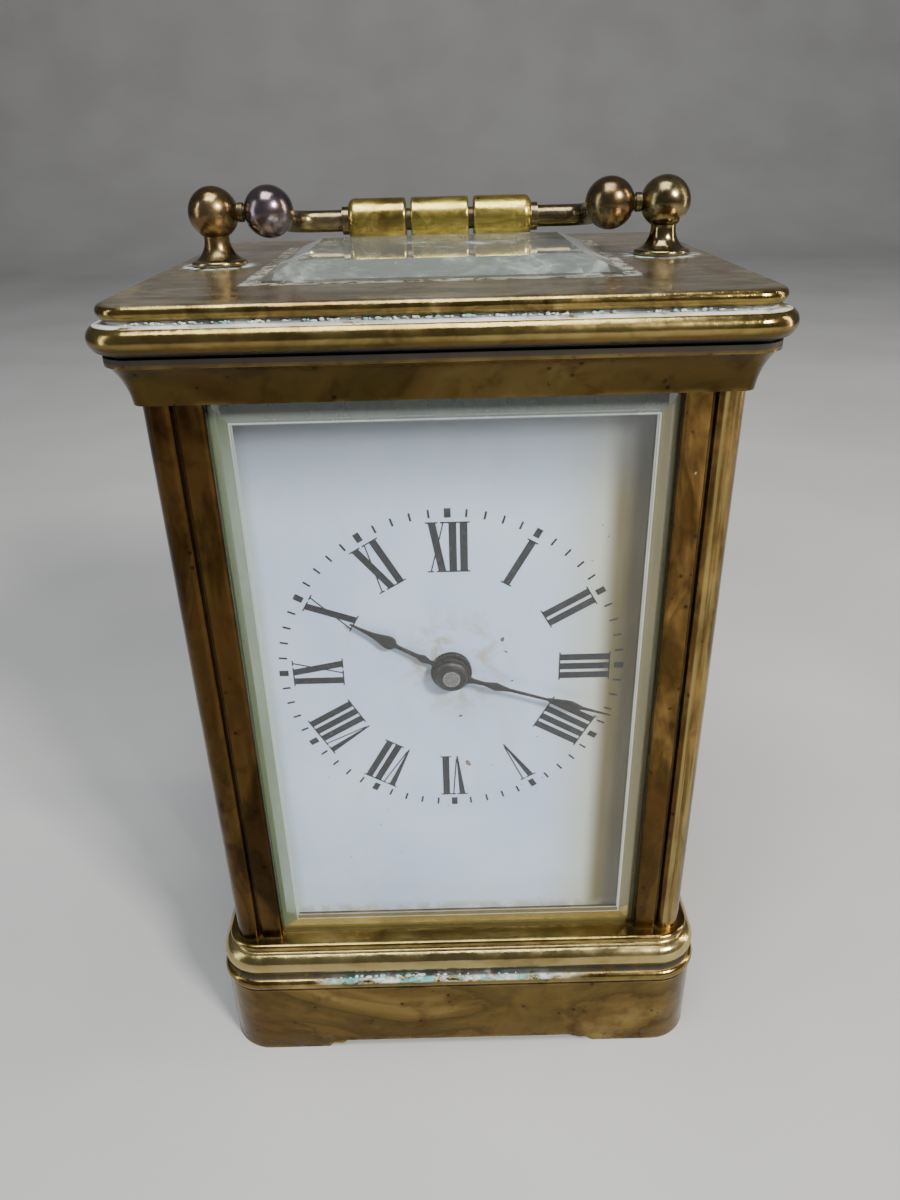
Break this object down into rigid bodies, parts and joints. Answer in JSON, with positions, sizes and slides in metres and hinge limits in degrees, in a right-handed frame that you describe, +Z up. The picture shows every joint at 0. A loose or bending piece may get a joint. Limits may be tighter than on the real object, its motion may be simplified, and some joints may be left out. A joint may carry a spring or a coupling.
{
  "type": "carriage clock",
  "caption": "Small glazed brass carriage clock with moulded base and cornice, enamel dial, folding handle and a hinged rear door.",
  "frame": {"origin": "centre of the base's underside, on the surface the clock stands on", "axes": "+Z up, dial faces -Y, +X to the right seen from the front"},
  "size_m": [0.0796, 0.0716, 0.1302],
  "materials": {
    "case_brass": "aged, tarnished, semi-gloss",
    "grip_brass": "handled, bright satin",
    "handle_brass": "dark tarnish over a polished surface",
    "wheel_brass": "fine satin",
    "movement_brass": "matt gilt",
    "steel": "polished",
    "spring_steel": "blued",
    "blackened_steel": "blackened",
    "enamel": "glossy white enamel on copper",
    "bevelled_glass": "clear, bevelled edges"
  },
  "bodies": {
    "case": {"base_casting": "case_brass", "base_floor_plate": "case_brass", "case_screws": "steel", "pillar_front_left": "case_brass", "pillar_front_right": "case_brass", "pillar_rear_left": "case_brass", "pillar_rear_right": "case_brass", "cornice_frame": "case_brass", "top_plate": "case_brass", "top_glass": "bevelled_glass", "front_glass": "bevelled_glass", "left_glass": "bevelled_glass", "right_glass": "bevelled_glass", "handle_post_left": "handle_brass", "handle_post_right": "handle_brass", "handle_pivot_pins": "steel", "door_hinge_pins": "steel", "movement_front_plate": "movement_brass", "movement_back_plate": "movement_brass", "movement_pillars": "movement_brass", "movement_screws": "steel", "dial": "enamel", "click_spring": "spring_steel", "click_screws": "steel", "platform_plate": "movement_brass", "platform_screws": "steel", "escape_cock": "movement_brass", "balance_cock": "movement_brass", "hairspring": "spring_steel"},
    "handle": {"handle_bow": "handle_brass", "grip_barrel_left": "grip_brass", "grip_barrel_middle": "grip_brass", "grip_barrel_right": "grip_brass"},
    "door": {"door_frame": "case_brass", "door_glass": "bevelled_glass", "door_knob": "handle_brass"},
    "centre": {"centre_arbor": "steel", "centre_wheel": "wheel_brass", "cannon_pinion": "steel", "minute_hand": "blackened_steel", "hand_collet": "blackened_steel"},
    "hours": {"hour_wheel": "wheel_brass", "hour_hand": "blackened_steel"},
    "minute_work": {"minute_wheel": "wheel_brass"},
    "barrel": {"barrel_drum": "wheel_brass", "barrel_cap": "wheel_brass", "mainspring": "spring_steel"},
    "winding": {"winding_arbor": "steel", "ratchet_wheel": "steel"},
    "click": {"click": "steel"},
    "third": {"third_arbor": "steel", "third_wheel": "wheel_brass"},
    "contrate": {"contrate_arbor": "steel", "contrate_wheel": "wheel_brass"},
    "escape": {"escape_arbor": "steel", "escape_wheel": "steel"},
    "lever": {"pallet_lever": "steel"},
    "balance": {"balance_wheel": "wheel_brass", "balance_staff": "steel"},
    "regulator": {"regulator": "steel"}
  },
  "joints": [
    {"name": "handle_fold", "type": "hinge", "parent": "case", "child": "handle", "pos_m": [0, 0, 0.1268], "axis": [1, 0, 0], "range_deg": [0, 196]},
    {"name": "door_swing", "type": "hinge", "parent": "case", "child": "door", "pos_m": [0.0261, 0.0299, 0.0654], "axis": [0, 0, -1], "range_deg": [0, 100]},
    {"name": "centre_turn", "type": "hinge", "parent": "case", "child": "centre", "pos_m": [0, 0, 0.0685], "axis": [0, 1, 0], "continuous": true},
    {"name": "hour_turn", "type": "hinge", "parent": "case", "child": "hours", "pos_m": [0, -0.023, 0.0685], "axis": [0, 1, 0], "continuous": true},
    {"name": "minute_work_turn", "type": "hinge", "parent": "case", "child": "minute_work", "pos_m": [-0.00509, -0.022, 0.06341], "axis": [0, 1, 0], "continuous": true},
    {"name": "barrel_turn", "type": "hinge", "parent": "case", "child": "barrel", "pos_m": [0, 0, 0.0445], "axis": [0, 1, 0], "continuous": true},
    {"name": "third_turn", "type": "hinge", "parent": "case", "child": "third", "pos_m": [-0.00533, 0, 0.08332], "axis": [0, 1, 0], "continuous": true},
    {"name": "contrate_turn", "type": "hinge", "parent": "case", "child": "contrate", "pos_m": [0.008, 0, 0.086], "axis": [0, 1, 0], "continuous": true},
    {"name": "escape_turn", "type": "hinge", "parent": "case", "child": "escape", "pos_m": [0.008, 0.00235, 0.1], "axis": [0, 0, 1], "continuous": true},
    {"name": "winding_turn", "type": "hinge", "parent": "case", "child": "winding", "pos_m": [0, 0.015, 0.0445], "axis": [0, 1, 0], "continuous": true},
    {"name": "click_lift", "type": "hinge", "parent": "case", "child": "click", "pos_m": [-0.0105, 0.015, 0.0505], "axis": [0, -1, 0], "range_deg": [0, 8]},
    {"name": "lever_rock", "type": "hinge", "parent": "case", "child": "lever", "pos_m": [0.0018, 0.00235, 0.1008], "axis": [0, 0, 1], "range_deg": [-4, 4]},
    {"name": "balance_swing", "type": "hinge", "parent": "case", "child": "balance", "pos_m": [-0.005, 0.00235, 0.1038], "axis": [0, 0, 1], "range_deg": [-220, 220], "stiffness_Nm_per_rad": 0.000006},
    {"name": "regulator_shift", "type": "hinge", "parent": "case", "child": "regulator", "pos_m": [-0.005, 0.00235, 0.1075], "axis": [0, 0, 1], "range_deg": [-12, 12]}
  ],
  "couplings": [
    {"joint": "hour_turn", "follows": "centre_turn", "ratio": 0.083333},
    {"joint": "minute_work_turn", "follows": "centre_turn", "ratio": -0.33333},
    {"joint": "barrel_turn", "follows": "centre_turn", "ratio": -0.14286},
    {"joint": "third_turn", "follows": "centre_turn", "ratio": -8},
    {"joint": "contrate_turn", "follows": "centre_turn", "ratio": 60},
    {"joint": "escape_turn", "follows": "centre_turn", "ratio": 600}
  ]
}
